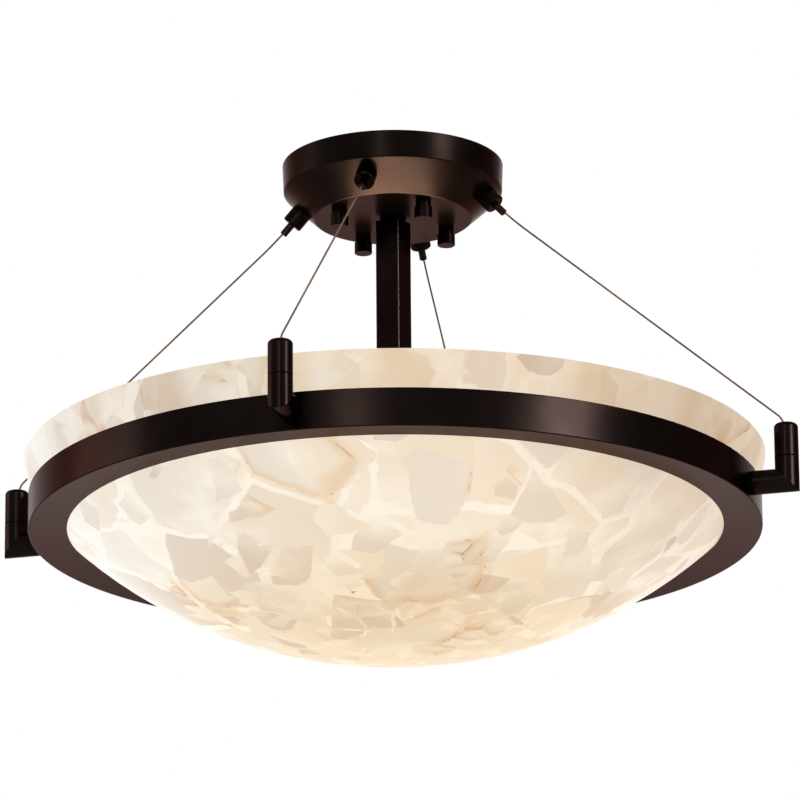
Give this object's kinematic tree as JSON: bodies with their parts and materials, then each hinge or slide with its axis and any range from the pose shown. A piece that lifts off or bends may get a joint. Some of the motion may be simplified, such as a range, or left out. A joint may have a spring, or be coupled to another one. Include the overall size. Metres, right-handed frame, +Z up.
{
  "type": "semi flush ceiling light",
  "caption": "Semi-flush ceiling light: a shallow stone-mosaic bowl in a bronze ring, hung on cables from a round canopy, with lamps on a square centre stem.",
  "frame": {"origin": "centre of the canopy's top rim and mounting plate, on the ceiling", "axes": "+Z up into the ceiling; the four posts stand on -Y, +X, +Y and -X"},
  "size_m": [0.686, 0.686, 0.424],
  "materials": {
    "bronze": "satin dark bronze",
    "zinc_steel": "zinc plated",
    "nickel": "satin dark bronze",
    "cable_steel": "stranded, darkened",
    "green_steel": "green",
    "porcelain": "glazed",
    "lamp_aluminium": "rolled",
    "lamp_glass": "frosted",
    "alabaster": "polished mosaic, lit from inside",
    "pad_rubber": "matt"
  },
  "bodies": {
    "fixture": {"canopy": "bronze", "mounting_plate": "zinc_steel", "ground_screw": "green_steel", "canopy_studs": "zinc_steel", "stud_nuts": "zinc_steel", "threaded_rod": "zinc_steel", "rod_nuts": "zinc_steel", "stem_collar": "bronze", "stem": "bronze", "lamp_hub": "bronze", "hub_cover": "bronze", "hub_finial": "bronze", "ring": "bronze", "arm_screws": "zinc_steel", "gripper_nuts": "zinc_steel", "cable_ferrules": "zinc_steel", "bowl_pads": "pad_rubber", "lamp_socket_1": "porcelain", "lamp_socket_2": "porcelain", "lamp_socket_3": "porcelain", "lamp_socket_4": "porcelain", "post_base_1": "bronze", "post_base_2": "bronze", "post_base_3": "bronze", "post_base_4": "bronze", "gripper_barrel_1": "bronze", "gripper_barrel_2": "bronze", "gripper_barrel_3": "bronze", "gripper_barrel_4": "bronze", "suspension_cable_1": "cable_steel", "suspension_cable_2": "cable_steel", "suspension_cable_3": "cable_steel", "suspension_cable_4": "cable_steel"},
    "knob_1": {"canopy_knob_1": "bronze"},
    "knob_2": {"canopy_knob_2": "bronze"},
    "knob_3": {"canopy_knob_3": "bronze"},
    "knob_4": {"canopy_knob_4": "bronze"},
    "cap_1": {"post_cap_1": "bronze"},
    "cap_2": {"post_cap_2": "bronze"},
    "cap_3": {"post_cap_3": "bronze"},
    "cap_4": {"post_cap_4": "bronze"},
    "plunger_1": {"gripper_plunger_1": "nickel"},
    "plunger_2": {"gripper_plunger_2": "nickel"},
    "plunger_3": {"gripper_plunger_3": "nickel"},
    "plunger_4": {"gripper_plunger_4": "nickel"},
    "lamp_1": {"lamp_base_1": "lamp_aluminium", "lamp_globe_1": "lamp_glass"},
    "lamp_2": {"lamp_base_2": "lamp_aluminium", "lamp_globe_2": "lamp_glass"},
    "lamp_3": {"lamp_base_3": "lamp_aluminium", "lamp_globe_3": "lamp_glass"},
    "lamp_4": {"lamp_base_4": "lamp_aluminium", "lamp_globe_4": "lamp_glass"},
    "bowl": {"bowl": "alabaster"}
  },
  "joints": [
    {"name": "knob_1_turn", "type": "hinge", "parent": "fixture", "child": "knob_1", "pos_m": [0.03656, -0.03656, -0.0465], "axis": [0, 0, 1], "continuous": true},
    {"name": "knob_2_turn", "type": "hinge", "parent": "fixture", "child": "knob_2", "pos_m": [0.03656, 0.03656, -0.0465], "axis": [0, 0, 1], "continuous": true},
    {"name": "knob_3_turn", "type": "hinge", "parent": "fixture", "child": "knob_3", "pos_m": [-0.03656, 0.03656, -0.0465], "axis": [0, 0, 1], "continuous": true},
    {"name": "knob_4_turn", "type": "hinge", "parent": "fixture", "child": "knob_4", "pos_m": [-0.03656, -0.03656, -0.0465], "axis": [0, 0, 1], "continuous": true},
    {"name": "post_cap_1_turn", "type": "hinge", "parent": "fixture", "child": "cap_1", "pos_m": [0, -0.333, -0.2866], "axis": [0, 0, 1], "continuous": true},
    {"name": "post_cap_2_turn", "type": "hinge", "parent": "fixture", "child": "cap_2", "pos_m": [0.333, 0, -0.2866], "axis": [0, 0, 1], "continuous": true},
    {"name": "post_cap_3_turn", "type": "hinge", "parent": "fixture", "child": "cap_3", "pos_m": [0, 0.333, -0.2866], "axis": [0, 0, 1], "continuous": true},
    {"name": "post_cap_4_turn", "type": "hinge", "parent": "fixture", "child": "cap_4", "pos_m": [-0.333, 0, -0.2866], "axis": [0, 0, 1], "continuous": true},
    {"name": "gripper_1_press", "type": "slide", "parent": "fixture", "child": "plunger_1", "axis": [0, 0.6737, 0.739], "range_m": [0, 0.003], "stiffness_N_per_m": 600, "springref_m": -0.002},
    {"name": "gripper_2_press", "type": "slide", "parent": "fixture", "child": "plunger_2", "axis": [-0.6737, 0, 0.739], "range_m": [0, 0.003], "stiffness_N_per_m": 600, "springref_m": -0.002},
    {"name": "gripper_3_press", "type": "slide", "parent": "fixture", "child": "plunger_3", "axis": [0, -0.6737, 0.739], "range_m": [0, 0.003], "stiffness_N_per_m": 600, "springref_m": -0.002},
    {"name": "gripper_4_press", "type": "slide", "parent": "fixture", "child": "plunger_4", "axis": [0.6737, 0, 0.739], "range_m": [0, 0.003], "stiffness_N_per_m": 600, "springref_m": -0.002},
    {"name": "lamp_1_turn", "type": "hinge", "parent": "fixture", "child": "lamp_1", "pos_m": [0.06612, -0.01587, -0.293], "axis": [0.9724, -0.2334, 0], "continuous": true},
    {"name": "lamp_2_turn", "type": "hinge", "parent": "fixture", "child": "lamp_2", "pos_m": [0.01587, 0.06612, -0.293], "axis": [0.2334, 0.9724, 0], "continuous": true},
    {"name": "lamp_3_turn", "type": "hinge", "parent": "fixture", "child": "lamp_3", "pos_m": [-0.06612, 0.01587, -0.293], "axis": [-0.9724, 0.2334, 0], "continuous": true},
    {"name": "lamp_4_turn", "type": "hinge", "parent": "fixture", "child": "lamp_4", "pos_m": [-0.01587, -0.06612, -0.293], "axis": [-0.2334, -0.9724, 0], "continuous": true},
    {"name": "bowl_lift", "type": "slide", "parent": "fixture", "child": "bowl", "axis": [0, 0, 1], "range_m": [0, 0.018]}
  ]
}
